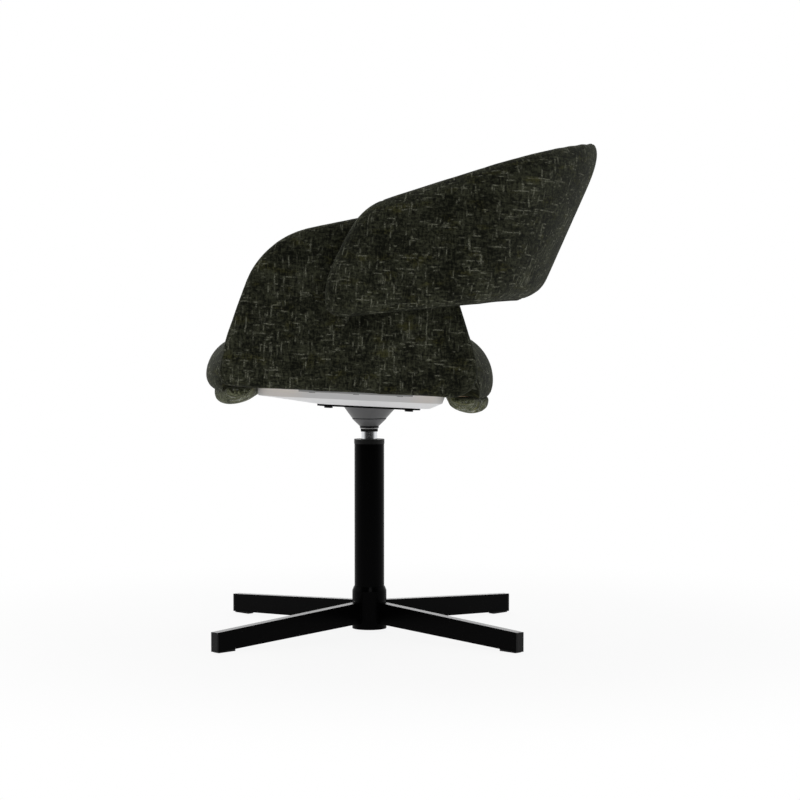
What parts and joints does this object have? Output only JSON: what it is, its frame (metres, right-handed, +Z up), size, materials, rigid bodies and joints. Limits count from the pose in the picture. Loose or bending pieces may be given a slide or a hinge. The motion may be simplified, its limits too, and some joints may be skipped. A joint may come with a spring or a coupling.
{
  "type": "swivel dining chair",
  "caption": "Padded tub-style dining chair with rolled seat, side wings and a wrap-round backrest band, turning freely on a column with splayed flat legs.",
  "frame": {"origin": "on the floor, under the middle of the whole chair's width and depth at rest", "axes": "+Z up, -Y the way the sitter faces, +X towards the sitter's left"},
  "size_m": [0.6224, 0.645, 0.8084],
  "materials": {
    "upholstery_fabric": "slubby matte weave",
    "black_steel": "satin",
    "chrome_steel": "polished",
    "grey_cone": "satin",
    "grey_pan": "matte",
    "black_plastic": "matte",
    "black_rubber": "matte",
    "bearing_steel": "ground",
    "zinc_steel": "zinc plated",
    "plywood": "sanded, unfinished"
  },
  "bodies": {
    "base": {"base_hub": "black_steel", "column_tube": "black_steel", "hub_bottom_cap": "black_plastic", "column_top_bush": "black_plastic", "column_lower_bush": "black_plastic", "bearing_seat": "bearing_steel", "bearing_lower_race": "bearing_steel", "leg_front_left": "black_steel", "leg_front_right": "black_steel", "leg_rear_left": "black_steel", "leg_rear_right": "black_steel", "leg_cap_front_left": "black_plastic", "leg_cap_front_right": "black_plastic", "leg_cap_rear_left": "black_plastic", "leg_cap_rear_right": "black_plastic", "glide_front_left": "black_plastic", "glide_front_right": "black_plastic", "glide_rear_left": "black_plastic", "glide_rear_right": "black_plastic"},
    "bearing_cage": {"ball_cage": "bearing_steel", "bearing_balls": "bearing_steel"},
    "seat": {"seat_cushion": "upholstery_fabric", "front_under_roll": "upholstery_fabric", "rear_under_roll": "upholstery_fabric", "wing_left": "upholstery_fabric", "wing_right": "upholstery_fabric", "backrest": "upholstery_fabric", "seat_plate": "black_steel", "spindle": "chrome_steel", "hub_cone_lower": "grey_cone", "hub_cone_upper": "grey_cone", "under_seat_pan": "grey_pan", "spindle_collar": "black_plastic", "dust_ring": "black_rubber", "cone_gasket": "black_rubber", "bearing_upper_race": "bearing_steel", "spindle_circlip": "zinc_steel", "spindle_washer": "zinc_steel", "plate_bolts": "zinc_steel", "tee_nuts": "zinc_steel", "side_bracket_left": "zinc_steel", "side_bracket_right": "zinc_steel", "bracket_screws": "zinc_steel", "core_pins": "zinc_steel", "back_bolts": "zinc_steel", "back_inserts": "zinc_steel", "spacer_block": "plywood", "seat_board": "plywood", "wing_core_left": "plywood", "wing_core_right": "plywood", "backrest_core": "plywood"}
  },
  "joints": [
    {"name": "seat_swivel", "type": "hinge", "parent": "base", "child": "seat", "pos_m": [0, -0.05125, 0.133], "axis": [0, 0, 1], "continuous": true},
    {"name": "cage_roll", "type": "hinge", "parent": "base", "child": "bearing_cage", "pos_m": [0, -0.05125, 0.129], "axis": [0, 0, 1], "continuous": true}
  ],
  "couplings": [
    {"joint": "cage_roll", "follows": "seat_swivel", "ratio": 0.5}
  ]
}
